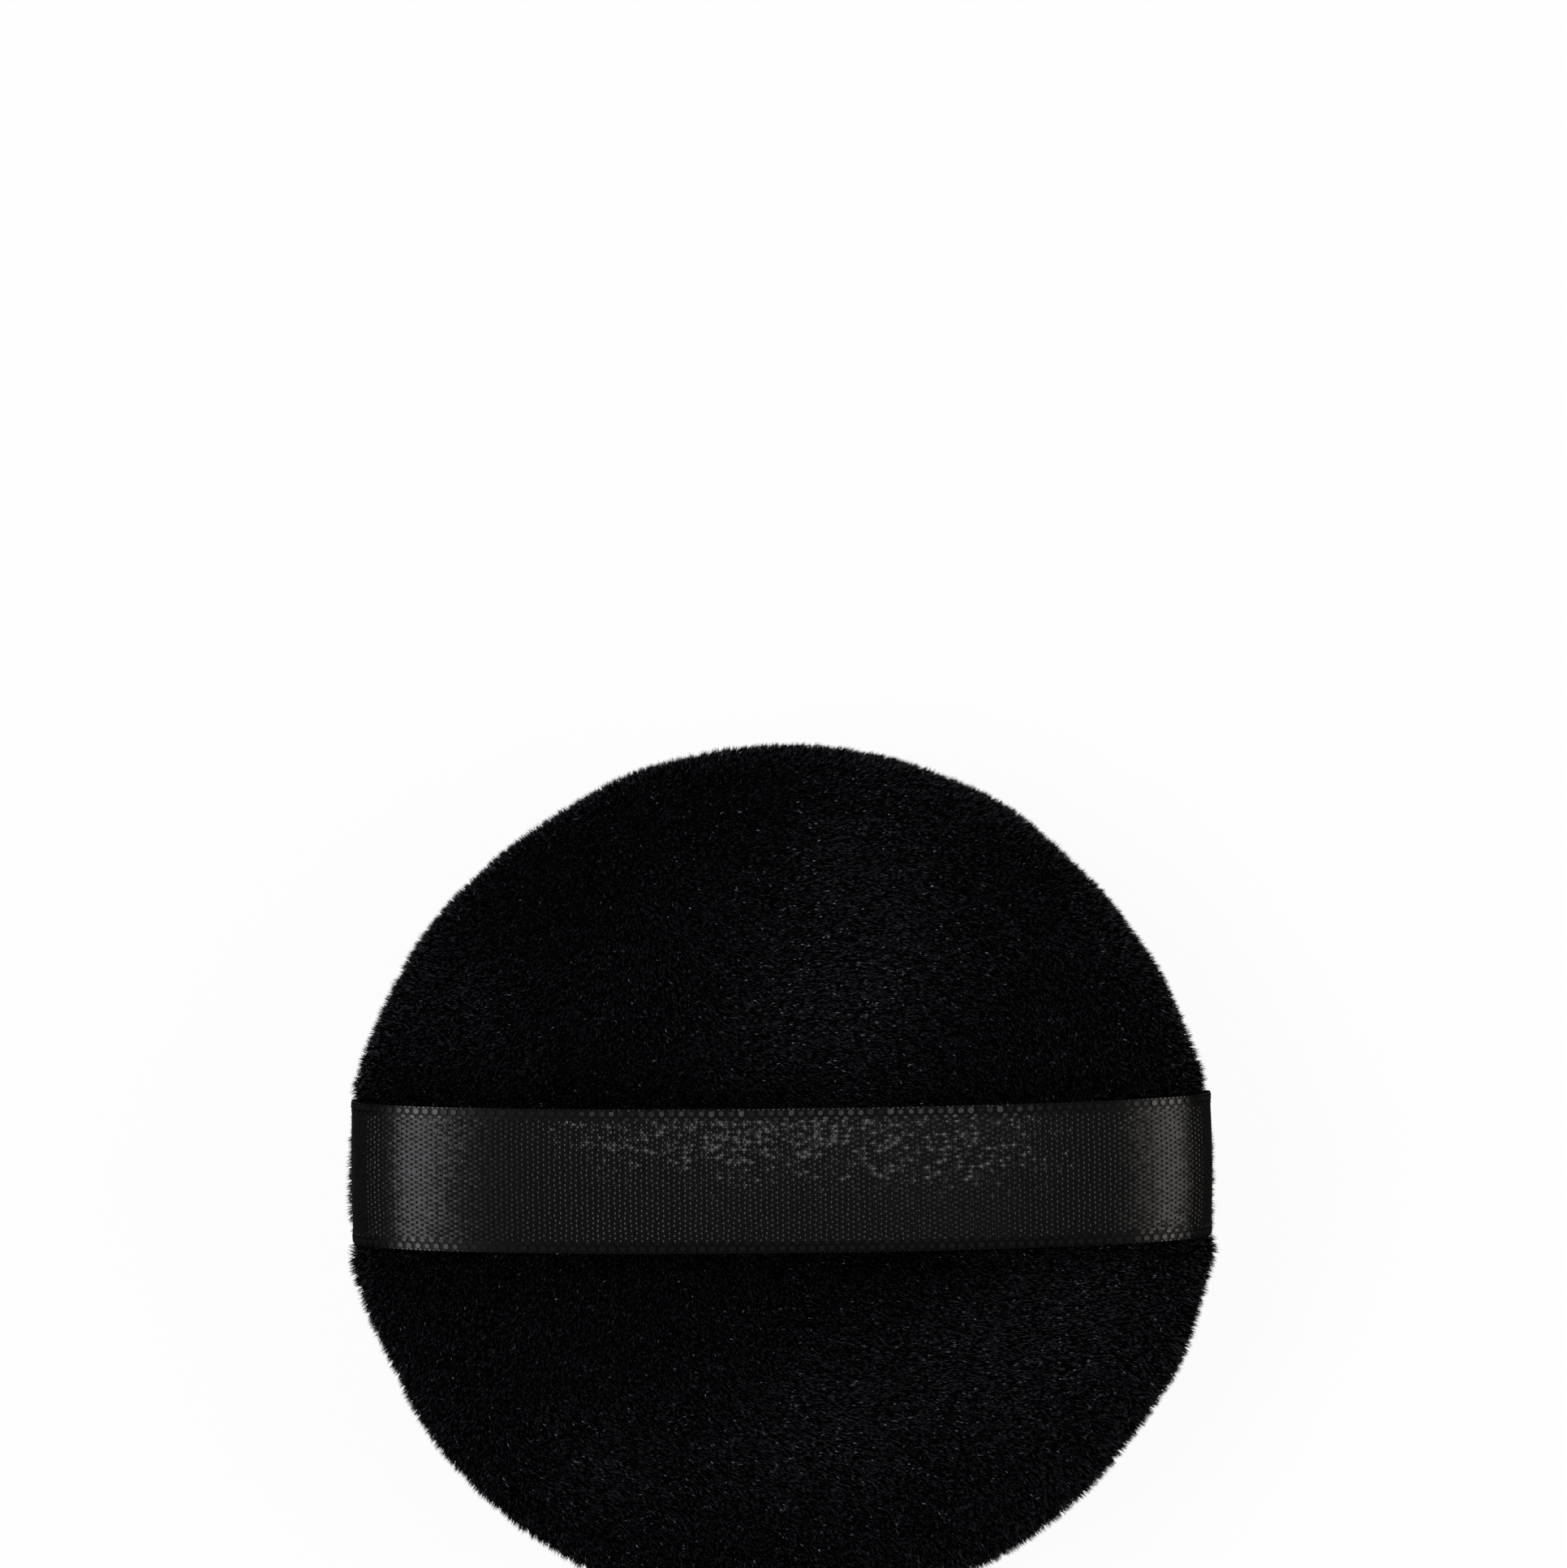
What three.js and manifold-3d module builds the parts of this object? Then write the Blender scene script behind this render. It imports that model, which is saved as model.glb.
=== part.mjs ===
// A round velour powder puff with a satin ribbon finger loop, in millimetres, +Z up.
// It lies with its ribbon side up: z = 0 is the surface that it rests on, and the origin is under its middle.
// Two velour covers are sewn together at the rim, turned right side out round a foam disc and closed by hand.
// Both ends of the ribbon are caught in the rim seam, at +X and -X.

import * as THREE from "three";
import { mergeVertices } from "three/addons/utils/BufferGeometryUtils.js";
import Module from "manifold-3d";

// The puff's outside, over the pile
const PUFF_DIAMETER = 80;
const BACK_RISE = 8; // from the seam up to the crown of the ribbon side
const FACE_DROP = 8; // from the seam down to the surface that the puff rests on
const RESTING_DIAMETER = 44; // the flat that the powder side makes on that surface
const RIM_BEAD = 2.4; // from the seam to the widest ring of each cover
const CROWN_POWER = 2.6; // 2 draws an ellipse, more draws a flatter crown and a tighter rim

// The covers and their turned-in edges
const VELOUR_THICKNESS = 2.4; // knitted ground with its pile
const SEAM_DRAW = 1.6; // how far the seam is drawn in behind the rim
const ALLOWANCE_WIDTH = 6;
const ALLOWANCE_THICKNESS = 1.2; // here the pile is crushed flat
const LAYER_GAP = 0.3; // between the two turned-in edges

// The ribbon
const RIBBON_WIDTH = 13;
const RIBBON_THICKNESS = 0.3;
const RIBBON_OFFSET = 1; // it is sewn on this far to the +Y side of the middle
const RIBBON_INSET = 0.3; // its sides lie this far inside the puff's diameter, pressing into the rim
const FINGER_GAP = 5.4; // from the crown up to the ribbon's underside
const RIBBON_POWER = 3.4; // of the superellipse that it stands up in, from rim to rim
const SEAM_BEND_RADIUS = 1; // where it turns into the seam
const TAIL_LENGTH = 5.4; // inside the seam, from the seam's fold

// The sewing
const THREAD_DIAMETER = 0.4;
const STITCH_INSET = 2; // from the seam's fold in to the line of stitches
const SEAM_STITCH = 5.1; // length of one machine stitch
const CLOSING_STITCH = 6; // length of one hand stitch
const TURNING_GAP = 44; // length of rim left open to turn the covers, then closed by hand
const THREAD_END_GAP = 1.5; // between the end of the machine seam and the hand stitches
const TACK_STITCH = 2.6;
const TACK_INSET = 2; // from the seam's stitches in to the row that tacks the ribbon
const TACK_EDGE = 1.2; // from the ribbon's edges to the ends of that row
const STITCH_SHARPNESS = 5; // how squarely a thread turns down into its needle hole

const CLEARANCE = 0.3; // between neighbouring pieces
const FOAM_EASE = 0.5; // between the foam and the inside of its covers

// How finely round shapes are drawn
const ROUND_STEPS = 36;
const CROWN_STEPS = 6;
const BEAD_STEPS = 3;
const ARCH_STEPS = 12;
const BEND_STEPS = 4;
const STEPS_PER_STITCH = 7;

// Heights and radii that follow from the sizes above
const rimRadius = PUFF_DIAMETER / 2;
const restingRadius = RESTING_DIAMETER / 2;
const seamZ = FACE_DROP;
const foldRadius = rimRadius - SEAM_DRAW;
const allowanceRadius = foldRadius - ALLOWANCE_WIDTH;
const layerFace = LAYER_GAP / 2; // from the seam's middle to either turned-in edge
const allowanceFace = layerFace + ALLOWANCE_THICKNESS;
const stitchRadius = foldRadius - STITCH_INSET;
const stitchRise = allowanceFace + CLEARANCE + THREAD_DIAMETER / 2; // from the seam to the thread's middle
const threadTop = stitchRise + THREAD_DIAMETER / 2;
const tackX = stitchRadius - TACK_INSET;
const ribbonSide = rimRadius - RIBBON_INSET - RIBBON_THICKNESS / 2; // middle of its upright sides
const bendZ = seamZ + SEAM_BEND_RADIUS;

const wasm = await Module();
wasm.setup();

// Booleans: a closed geometry as a solid, and a solid back as a geometry

function solidOf(geometry) {
  const bare = geometry.clone();
  bare.deleteAttribute("normal");
  bare.deleteAttribute("uv");
  const merged = mergeVertices(bare);
  return new wasm.Manifold(
    new wasm.Mesh({
      numProp: 3,
      vertProperties: merged.attributes.position.array,
      triVerts: merged.index.array,
    }),
  );
}

function geometryOf(solid) {
  const { vertProperties, triVerts } = solid.getMesh();
  const geometry = new THREE.BufferGeometry();
  geometry.setAttribute("position", new THREE.BufferAttribute(vertProperties, 3));
  geometry.setIndex(new THREE.BufferAttribute(triVerts, 1));
  geometry.computeVertexNormals();
  return geometry;
}

function cut(geometry, cutters) {
  const solid = cutters.reduce((left, cutter) => left.subtract(solidOf(cutter)), solidOf(geometry));
  return geometryOf(solid);
}

// Profiles in (radius, height above the seam), for the covers and the foam

// A quarter of a superellipse, from the edge of its flat top out to its rim, or out to the height `low`.
function crown({ radius, flat, base, top, low = base }) {
  const last = Math.acos(((low - base) / (top - base)) ** (CROWN_POWER / 2));
  return Array.from({ length: CROWN_STEPS + 1 }, (_, i) => {
    const angle = (last * i) / CROWN_STEPS;
    const across = Math.sin(angle) ** (2 / CROWN_POWER);
    const up = Math.cos(angle) ** (2 / CROWN_POWER);
    return new THREE.Vector2(flat + (radius - flat) * across, base + (top - base) * up);
  });
}

// The rounded edge below the widest ring, which turns in to the seam's fold.
function bead() {
  return Array.from({ length: BEAD_STEPS }, (_, i) => {
    const angle = (Math.PI / 2) * ((i + 1) / BEAD_STEPS);
    const inward = SEAM_DRAW * (1 - Math.cos(angle));
    const down = (RIM_BEAD - layerFace) * Math.sin(angle);
    return new THREE.Vector2(rimRadius - inward, RIM_BEAD - down);
  });
}

function toAxis(points) {
  return points[0].x > 0 ? [new THREE.Vector2(0, points[0].y), ...points] : points;
}

// One cover: a shell `rise` tall over the seam, with a flat of radius `flat` in the middle of its crown.
function coverProfile(rise, flat) {
  const inside = crown({
    radius: rimRadius - VELOUR_THICKNESS,
    flat,
    base: allowanceFace,
    top: rise - VELOUR_THICKNESS,
  });
  return [
    ...toAxis(crown({ radius: rimRadius, flat, base: RIM_BEAD, top: rise })),
    ...bead(),
    new THREE.Vector2(allowanceRadius, layerFace),
    new THREE.Vector2(allowanceRadius, allowanceFace),
    ...toAxis(inside).reverse(),
  ];
}

// The foam's half over the seam. It fills its cover, and its lip lies on the threads of the seam.
function foamHalf(rise, flat) {
  const lip = threadTop + CLEARANCE;
  const outside = crown({
    radius: rimRadius - VELOUR_THICKNESS - FOAM_EASE,
    flat,
    base: allowanceFace,
    top: rise - VELOUR_THICKNESS - FOAM_EASE,
    low: lip,
  });
  return [...toAxis(outside), new THREE.Vector2(allowanceRadius - CLEARANCE, lip)];
}

const mirrored = (points) => points.map((p) => new THREE.Vector2(p.x, -p.y)).reverse();

// Turns a profile that runs from the top of the axis, round the outside, to its bottom.
function turned(profile) {
  const geometry = new THREE.LatheGeometry(profile.slice().reverse(), ROUND_STEPS);
  return geometry.rotateX(Math.PI / 2).translate(0, 0, seamZ);
}

// The ribbon: half of its middle line, from its centre to the end of its tail, with outward normals

// The arch, from its top down to where it turns into the seam.
function arch() {
  const height = seamZ + BACK_RISE + FINGER_GAP + RIBBON_THICKNESS / 2 - bendZ;
  return Array.from({ length: ARCH_STEPS + 1 }, (_, i) => {
    const angle = ((Math.PI / 2) * i) / ARCH_STEPS;
    const across = Math.sin(angle) ** (2 / RIBBON_POWER);
    const up = Math.cos(angle) ** (2 / RIBBON_POWER);
    const slope = new THREE.Vector2(
      across ** (RIBBON_POWER - 1) / ribbonSide,
      up ** (RIBBON_POWER - 1) / height,
    );
    return { point: new THREE.Vector2(ribbonSide * across, bendZ + height * up), normal: slope.normalize() };
  });
}

function seamBend() {
  const middle = new THREE.Vector2(ribbonSide - SEAM_BEND_RADIUS, bendZ);
  return Array.from({ length: BEND_STEPS + 1 }, (_, i) => {
    const angle = (Math.PI / 2) * (1 + i / BEND_STEPS);
    const normal = new THREE.Vector2(Math.sin(angle), Math.cos(angle));
    return { point: middle.clone().addScaledVector(normal, SEAM_BEND_RADIUS), normal };
  });
}

function ribbonHalf(tailEnd) {
  const end = { point: new THREE.Vector2(tailEnd, seamZ), normal: new THREE.Vector2(0, -1) };
  return [...arch().slice(0, -1), ...seamBend(), end];
}

// The ribbon as a strip, grown by `ease` on every side.
function ribbonStrip(ease) {
  const half = ribbonHalf(foldRadius - TAIL_LENGTH - ease);
  const flip = (v) => new THREE.Vector2(-v.x, v.y);
  const otherHalf = half.slice(1).map(({ point, normal }) => ({ point: flip(point), normal: flip(normal) }));
  const line = [...otherHalf.reverse(), ...half];
  const offset = RIBBON_THICKNESS / 2 + ease;
  const shifted = (side) => ({ point, normal }) => point.clone().addScaledVector(normal, side * offset);
  const face = (side) => line.map(shifted(side));
  const width = RIBBON_WIDTH + 2 * ease;
  const outline = new THREE.Shape([...face(1), ...face(-1).reverse()]);
  const geometry = new THREE.ExtrudeGeometry(outline, { depth: width, bevelEnabled: false });
  return geometry.rotateX(Math.PI / 2).translate(0, width / 2 + RIBBON_OFFSET, 0);
}

// The rim's pile that a side of the ribbon presses flat, from the ribbon out past the rim.
function pressedRim(side) {
  const depth = rimRadius + CLEARANCE - ribbonSide;
  const height = seamZ + BACK_RISE - bendZ;
  const block = new THREE.BoxGeometry(depth, RIBBON_WIDTH + 2 * CLEARANCE, height);
  return block.translate(side * (ribbonSide + depth / 2), RIBBON_OFFSET, bendZ + height / 2);
}

// Sewing: a row of stitches runs along a line in the seam's plane, over and under the turned-in edges

// A row round the rim, between two angles.
function rimRow(from, to, stitch) {
  const length = stitchRadius * (to - from);
  const at = (share) => {
    const angle = from + (to - from) * share;
    const x = stitchRadius * Math.cos(angle);
    const y = stitchRadius * Math.sin(angle);
    return { x, y, turn: angle + Math.PI / 2 };
  };
  return { at, length, count: Math.max(2, Math.round(length / stitch)) };
}

// A straight row across one tail of the ribbon.
function tackRow(side) {
  const length = RIBBON_WIDTH - 2 * TACK_EDGE;
  const at = (share) => ({ x: side * tackX, y: RIBBON_OFFSET + length * (share - 0.5), turn: Math.PI / 2 });
  return { at, length, count: Math.max(2, Math.round(length / TACK_STITCH)) };
}

// The thread's height swings between the two sides of the seam, once for each stitch.
class StitchLine extends THREE.Curve {
  constructor(row) {
    super();
    this.row = row;
  }

  getPoint(share) {
    const swing = Math.cos(Math.PI * share * this.row.count);
    const side = Math.tanh(STITCH_SHARPNESS * swing) / Math.tanh(STITCH_SHARPNESS);
    const { x, y } = this.row.at(share);
    return new THREE.Vector3(x, y, seamZ + stitchRise * side);
  }
}

function thread(row) {
  const radius = THREAD_DIAMETER / 2;
  const corners = [0, 1, 2, 3].map((i) => (i * Math.PI) / 2);
  const section = new THREE.Shape(
    corners.map((angle) => new THREE.Vector2(radius * Math.cos(angle), radius * Math.sin(angle))),
  );
  const path = new StitchLine(row);
  path.arcLengthDivisions = row.count * STEPS_PER_STITCH * 8;
  return new THREE.ExtrudeGeometry(section, {
    steps: row.count * STEPS_PER_STITCH,
    extrudePath: path,
    bevelEnabled: false,
  });
}

// The needle holes that a row makes through the turned-in edges and the ribbon's tails.
function needleHoles(row) {
  const stitch = row.length / row.count;
  const slope = Math.atanh((allowanceFace / stitchRise) * Math.tanh(STITCH_SHARPNESS)) / STITCH_SHARPNESS;
  const slant = (2 * stitch * Math.asin(slope)) / Math.PI; // its move along the row on its way through
  const width = THREAD_DIAMETER + 2 * CLEARANCE;
  return Array.from({ length: row.count }, (_, i) => {
    const { x, y, turn } = row.at((i + 0.5) / row.count);
    const hole = new THREE.BoxGeometry(width + slant, width, 2 * (allowanceFace + CLEARANCE));
    return hole.rotateZ(turn).translate(x, y, seamZ);
  });
}

// The turning gap is in the middle of the -Y side, clear of both ends of the ribbon.
const gapMiddle = -Math.PI / 2;
const gapHalf = TURNING_GAP / 2 / stitchRadius;
const endHalf = THREAD_END_GAP / 2 / stitchRadius;
const seamStart = gapMiddle + gapHalf + endHalf;
const seamEnd = gapMiddle - gapHalf - endHalf + 2 * Math.PI;
const seamRow = rimRow(seamStart, seamEnd, SEAM_STITCH);
const closingRow = rimRow(gapMiddle - gapHalf + endHalf, gapMiddle + gapHalf - endHalf, CLOSING_STITCH);
const leftTackRow = tackRow(-1);
const rightTackRow = tackRow(1);

const tackHoles = [leftTackRow, rightTackRow].flatMap(needleHoles);
const seamHoles = needleHoles(seamRow);
const needleCutters = [...tackHoles, ...seamHoles, ...needleHoles(closingRow)];
const ribbonCutters = [ribbonStrip(CLEARANCE), pressedRim(-1), pressedRim(1)];

// Finishes
const velour = new THREE.MeshStandardMaterial({ color: 0x0b0b0d, roughness: 0.95, metalness: 0 });
const satin = new THREE.MeshStandardMaterial({ color: 0x141415, roughness: 0.4, metalness: 0 });
const foam = new THREE.MeshStandardMaterial({ color: 0xe8e3d6, roughness: 0.95, metalness: 0 });
const cotton = new THREE.MeshStandardMaterial({ color: 0x101011, roughness: 0.8, metalness: 0 });

const puff = new THREE.Group();

function add(name, geometry, material) {
  const mesh = new THREE.Mesh(geometry, material);
  mesh.name = name;
  puff.add(mesh);
}

const backCover = turned(coverProfile(BACK_RISE, 0));
const faceCover = turned(mirrored(coverProfile(FACE_DROP, restingRadius)));
const foamDisc = turned([...foamHalf(BACK_RISE, 0), ...mirrored(foamHalf(FACE_DROP, restingRadius))]);

add("back_velour", cut(backCover, [...ribbonCutters, ...needleCutters]), velour);
add("face_velour", cut(faceCover, [...ribbonCutters, ...needleCutters]), velour);
add("foam_core", foamDisc, foam);
add("ribbon_strap", cut(ribbonStrip(0), [...tackHoles, ...seamHoles]), satin);
add("rim_seam_thread", thread(seamRow), cotton);
add("closing_thread", thread(closingRow), cotton);
add("ribbon_tack_left", thread(leftTackRow), cotton);
add("ribbon_tack_right", thread(rightTackRow), cotton);

export default puff;
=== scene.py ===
# %% [markdown]
# # A velour powder puff with a satin ribbon loop
# The puff is a sewn cushion: two rounds of velour, a foam disc between them, and a ribbon whose ends are
# caught in the rim seam. Its solids come from the shared frame, and this lesson gives each piece its
# cloth, pile and weave. Lengths on the puff are written in millimetres and multiplied by MM, because
# Blender works in metres.

# %% Load the frame and take the sizes from it
import math

import bmesh
import bpy
from mathutils import Matrix, Vector, noise


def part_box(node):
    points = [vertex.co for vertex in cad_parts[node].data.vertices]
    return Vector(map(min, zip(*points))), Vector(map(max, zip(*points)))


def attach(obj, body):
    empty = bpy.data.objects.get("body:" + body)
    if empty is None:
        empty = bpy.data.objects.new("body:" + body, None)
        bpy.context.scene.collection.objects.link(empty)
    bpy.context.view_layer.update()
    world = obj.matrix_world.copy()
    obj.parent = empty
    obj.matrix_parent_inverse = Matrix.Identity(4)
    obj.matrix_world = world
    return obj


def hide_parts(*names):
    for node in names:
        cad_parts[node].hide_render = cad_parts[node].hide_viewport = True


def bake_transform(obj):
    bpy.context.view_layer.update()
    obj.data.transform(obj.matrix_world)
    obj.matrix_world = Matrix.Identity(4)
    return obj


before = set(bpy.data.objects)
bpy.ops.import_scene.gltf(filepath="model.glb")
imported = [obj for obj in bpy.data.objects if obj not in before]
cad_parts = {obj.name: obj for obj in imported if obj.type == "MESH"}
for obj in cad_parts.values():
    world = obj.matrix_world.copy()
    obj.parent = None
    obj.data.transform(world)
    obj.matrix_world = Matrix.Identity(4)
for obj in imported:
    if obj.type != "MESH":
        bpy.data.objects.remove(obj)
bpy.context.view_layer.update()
MM = 0.001

back_low, back_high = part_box("back_velour")
face_low, face_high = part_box("face_velour")
ribbon_low, ribbon_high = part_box("ribbon_strap")
RIM_RADIUS = face_high.x
SEAM_Z = (face_high.z + back_low.z) / 2
CROWN_Z = back_high.z
RIBBON_WIDTH = ribbon_high.y - ribbon_low.y
RIBBON_Y = (ribbon_high.y + ribbon_low.y) / 2
RIBBON_TOP = ribbon_high.z
RIBBON_REACH = ribbon_high.x
sizes = [f"{size / MM:.1f}" for size in (2 * RIM_RADIUS, CROWN_Z, SEAM_Z)]
print("puff's width, its thickness and the height of its seam in mm:", *sizes)


# %% [markdown]
# ## Helpers that the whole lesson uses
# A colour is written as the sRGB hex value that a paint program shows, and Blender wants it linear. One
# function adds a node to any tree, sets it up and links it, so that a tree reads as a list of its nodes:
# a node that is given as an input stands for its first output. Sockets go by their name, or by their
# number where several of them share one name.

# %% Colours and nodes
def linear(hex_colour):
    """The linear RGBA of an sRGB hex colour such as "1a1a1c"."""
    channels = [int(hex_colour[i : i + 2], 16) / 255 for i in (0, 2, 4)]
    return [c / 12.92 if c <= 0.04045 else ((c + 0.055) / 1.055) ** 2.4 for c in channels] + [1.0]


def add_node(tree, kind, inputs=None, **settings):
    """Adds a node. Settings are its own properties; inputs are values, or sockets or nodes to link from."""
    node = tree.nodes.new(kind)
    for name, value in settings.items():
        setattr(node, name, value)
    for name, value in (inputs or {}).items():
        if isinstance(value, bpy.types.Node):
            value = value.outputs[0]
        if isinstance(value, bpy.types.NodeSocket):
            tree.links.new(value, node.inputs[name])
        else:
            node.inputs[name].default_value = value
    return node


def new_material(name, **principled):
    """A material with one Principled shader, whose constant sockets are set here."""
    material = bpy.data.materials.new(name)
    material.use_nodes = True
    shader = material.node_tree.nodes["Principled BSDF"]
    for socket, value in principled.items():
        shader.inputs[socket.replace("_", " ")].default_value = value
    return material, material.node_tree, shader


def colour_by_pattern(tree, shader, texture, output, low, high, depth):
    """Lays a texture on the piece's own coordinates, to set a material's colour and its bump together."""
    place = add_node(tree, "ShaderNodeTexCoord").outputs["Object"]
    tree.links.new(place, texture.inputs["Vector"])
    height = texture.outputs[output]
    # The low colour lies where the bump sinks; where it is the darker one, that darkening is painted shade.
    colour = add_node(tree, "ShaderNodeMix", {0: height, 6: linear(low), 7: linear(high)}, data_type="RGBA")
    bump = add_node(tree, "ShaderNodeBump", {"Height": height, "Distance": depth})
    tree.links.new(colour.outputs[2], shader.inputs["Base Color"])
    tree.links.new(bump.outputs[0], shader.inputs["Normal"])


# %% Meshes
def new_object(name, data):
    """Puts a mesh, a lamp or a camera into the scene."""
    piece = bpy.data.objects.new(name, data)
    bpy.context.collection.objects.link(piece)
    return piece


def new_piece(name, points, faces):
    mesh = bpy.data.meshes.new(name)
    mesh.from_pydata(points, [], faces)
    mesh.update()
    return new_object(name, mesh)


def shade_smooth(piece):
    piece.data.polygons.foreach_set("use_smooth", [True] * len(piece.data.polygons))


def evaluated_mesh(piece):
    """The piece with its modifiers worked out, as a plain mesh of its own."""
    depsgraph = bpy.context.evaluated_depsgraph_get()
    return bpy.data.meshes.new_from_object(piece.evaluated_get(depsgraph), depsgraph=depsgraph)


def bake_modifiers(piece):
    """Replaces the piece's mesh by its evaluated one and removes the modifiers."""
    mesh = evaluated_mesh(piece)
    piece.modifiers.clear()
    piece.data = mesh


def add_wall(sheet, thickness):
    """Turns an open sheet into a closed wall that grows inwards."""
    wall = sheet.modifiers.new("wall", "SOLIDIFY")
    wall.thickness = thickness
    wall.offset = -1
    bake_modifiers(sheet)
    shade_smooth(sheet)


# %% [markdown]
# ## Stage, camera and light
# The puff was photographed from straight above, ribbon side up, low in the frame. A camera that looks
# along -Z from beside the puff's middle gives that framing without any lens shift. The paper under it
# looks white to the camera alone: black cloth mirrors whatever is around it and a white room would turn
# it grey, so every other ray meets a dim floor and dim air. A share of real white paper keeps the puff's
# shadow on the floor.

# %% The camera
PHOTO_WIDTH, PHOTO_HEIGHT = 1931, 1932
PUFF_CENTRE_PX = (963.5, 1455.75)
PUFF_RADIUS_PX = 535.4
RIBBON_TILT = math.radians(0.6)
CAMERA_HEIGHT = 540 * MM
# The rim is widest where the rolled bead of the seam ends.
BEAD = 2.4 * MM
RIM_Z = SEAM_Z + BEAD
SENSOR = 36.0

pixel = RIM_RADIUS / PUFF_RADIUS_PX
aside = Vector((PHOTO_WIDTH / 2 - PUFF_CENTRE_PX[0], PUFF_CENTRE_PX[1] - PHOTO_HEIGHT / 2)) * pixel
aside.rotate(Matrix.Rotation(-RIBBON_TILT, 2))
camera = new_object("photo_camera", bpy.data.cameras.new("photo_camera"))
camera.location = (aside.x, aside.y, CAMERA_HEIGHT)
camera.rotation_euler = (0, 0, -RIBBON_TILT)
camera.data.sensor_width = SENSOR
camera.data.lens = SENSOR * (CAMERA_HEIGHT - RIM_Z) / (PHOTO_HEIGHT * pixel)
camera.data.clip_start = 10 * MM
bpy.context.scene.camera = camera
bpy.context.scene.view_settings.view_transform = "Standard"
print(f"camera {CAMERA_HEIGHT / MM:.0f} mm up with a {camera.data.lens:.0f} mm lens")

# %% The floor
FLOOR_HALF = 1500 * MM
FLOOR_GLOW = 0.94

corners = [(x * FLOOR_HALF, y * FLOOR_HALF, 0) for x, y in ((-1, -1), (1, -1), (1, 1), (-1, 1))]
floor = new_piece("floor", corners, [(0, 1, 2, 3)])
# Matt white paper: an even white that keeps a faint shadow.
paper, tree, shader = new_material("white paper", Base_Color=linear("f2f2f2"), Roughness=0.9)
glow = add_node(tree, "ShaderNodeEmission", {"Color": (1, 1, 1, 1), "Strength": 1.0})
bright = add_node(tree, "ShaderNodeMixShader", {0: FLOOR_GLOW, 1: shader, 2: glow})
dim = add_node(tree, "ShaderNodeBsdfDiffuse", {"Color": linear("383838")})
to_camera = add_node(tree, "ShaderNodeLightPath").outputs["Is Camera Ray"]
mixed = add_node(tree, "ShaderNodeMixShader", {0: to_camera, 1: dim, 2: bright})
tree.links.new(mixed.outputs[0], tree.nodes["Material Output"].inputs["Surface"])
floor.data.materials.append(paper)
print(f"the floor is {2 * FLOOR_HALF / MM:.0f} mm wide")

# %% The air
AIR_LIGHT = 0.088

world = bpy.data.worlds.new("studio air")
world.use_nodes = True
bpy.context.scene.world = world
tree = world.node_tree
air = tree.nodes["Background"]
air.inputs["Color"].default_value = (1, 1, 1, 1)
air.inputs["Strength"].default_value = AIR_LIGHT
white = add_node(tree, "ShaderNodeBackground", {"Color": (1, 1, 1, 1), "Strength": 1.0})
to_camera = add_node(tree, "ShaderNodeLightPath").outputs["Is Camera Ray"]
mixed = add_node(tree, "ShaderNodeMixShader", {0: to_camera, 1: air, 2: white})
tree.links.new(mixed.outputs[0], tree.nodes["World Output"].inputs["Surface"])
print(f"paper and air are white to the camera, and the air lights the puff at {AIR_LIGHT}")


# %% [markdown]
# ## The lamps
# Two soft boxes beside the ribbon's ends make the sheen on its shoulders, the left one a little cool and
# the right one a little warm. A point lamp would give a hard spot there. Each lamp is brightest along its
# middle and fades to its upper and lower edge, as one behind a diffuser does, so the sheen has soft
# edges. A strip behind the puff lights the nap, and a narrow lamp overhead makes the satin sparkle along
# the ribbon's upper half.

# %% The soft boxes
COOL_WHITE = (0.98, 0.95, 1.0)
WARM_WHITE = (1.0, 0.95, 0.88)
# The fade halves a lamp's light on the whole, so its middle is made twice as bright to keep its power.
MIDDLE_GLOW = 2.0


def soft_box(name, place, width, height, power, colour=(1, 1, 1)):
    """An area lamp that points at the puff and fades to nothing at its upper and lower edge."""
    lamp = bpy.data.lights.new(name, "AREA")
    lamp.shape = "RECTANGLE"
    lamp.size = width
    lamp.size_y = height
    lamp.energy = power
    lamp.color = colour
    lamp.use_nodes = True
    tree = lamp.node_tree
    spot = add_node(tree, "ShaderNodeNewGeometry").outputs["Parametric"]
    apart = add_node(tree, "ShaderNodeSeparateXYZ", {0: spot})
    upright = add_node(tree, "ShaderNodeMath", {0: apart.outputs[1], 1: 0.5}, operation="SUBTRACT")
    off_middle = add_node(tree, "ShaderNodeMath", {0: upright}, operation="ABSOLUTE")
    fade = add_node(
        tree,
        "ShaderNodeMapRange",
        {"Value": off_middle, "From Min": 0.5, "From Max": 0.0, "To Min": 0.0, "To Max": MIDDLE_GLOW},
        interpolation_type="SMOOTHSTEP",
    )
    tree.links.new(fade.outputs[0], tree.nodes["Emission"].inputs["Strength"])
    box = new_object(name, lamp)
    box.location = place
    box.rotation_euler = (Vector((0, 0, SEAM_Z)) - Vector(place)).to_track_quat("-Z", "Y").to_euler()


# The lamps stand well away from the puff, so their places and sizes are in metres.
soft_box("left_soft_box", (-0.58, 0.06, 0.6), width=0.8, height=0.64, power=5.8, colour=COOL_WHITE)
soft_box("right_soft_box", (0.75, 0.05, 0.42), width=0.6, height=0.9, power=4.7, colour=WARM_WHITE)
soft_box("back_strip", (0.0, 0.75, 0.55), width=0.9, height=0.2, power=1.3, colour=COOL_WHITE)
soft_box("overhead_lamp", (0.05, 0.1, 0.95), width=0.28, height=0.02, power=0.42)
print(f"{len(bpy.data.lights)} lamps")


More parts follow.
